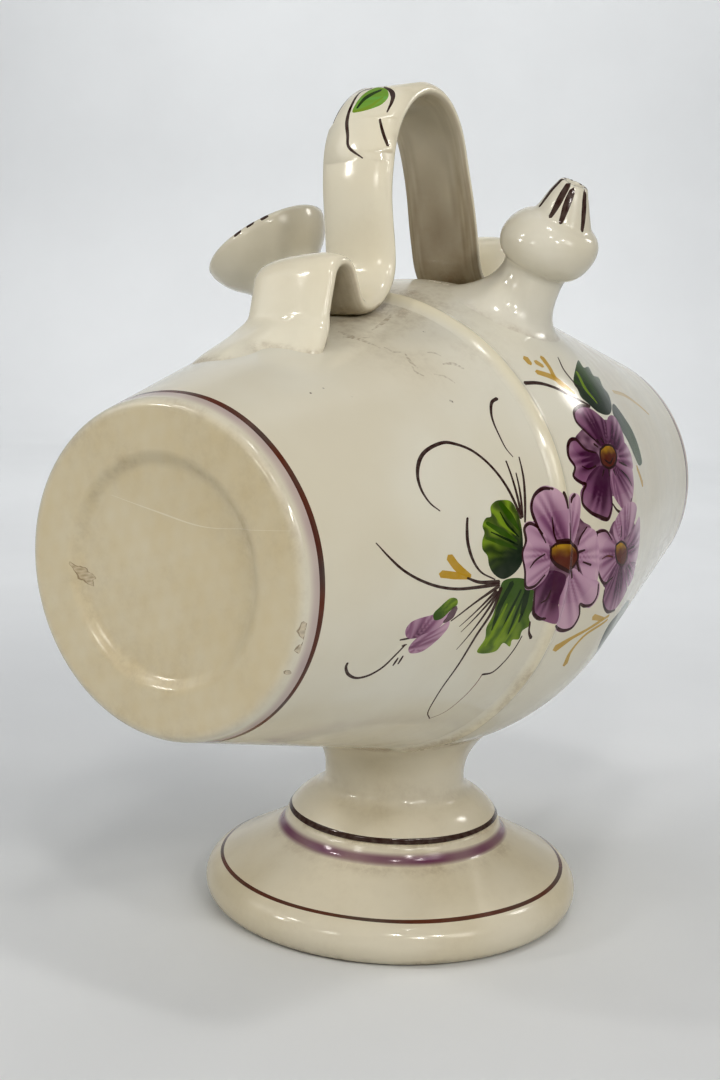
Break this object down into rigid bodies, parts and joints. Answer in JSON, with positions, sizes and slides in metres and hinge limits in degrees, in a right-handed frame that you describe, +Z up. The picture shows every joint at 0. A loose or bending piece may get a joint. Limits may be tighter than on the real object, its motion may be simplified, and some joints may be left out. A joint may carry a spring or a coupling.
{
  "type": "water jug",
  "caption": "Barrel-shaped glazed ceramic water jug on a turned pedestal foot, with a looped strap handle, a drinking spout and a bowl-shaped filling mouth.",
  "frame": {"origin": "centre of the foot's underside, on the surface that the jug stands on", "axes": "+Z up; X along the barrel with the front end at -X; the spout on the -Y side and the mouth on the +Y side"},
  "size_m": [0.27, 0.1699, 0.2863],
  "materials": {
    "glaze_body": "gloss",
    "glaze_foot": "gloss",
    "glaze_handle": "gloss",
    "glaze_fittings": "gloss"
  },
  "bodies": {
    "root": {"front_shell": "glaze_body", "rear_shell": "glaze_body", "seam_band": "glaze_body", "foot_stem": "glaze_foot", "foot_plate": "glaze_foot", "strap_handle": "glaze_handle", "filling_mouth": "glaze_fittings", "drinking_spout": "glaze_fittings"}
  },
  "joints": []
}
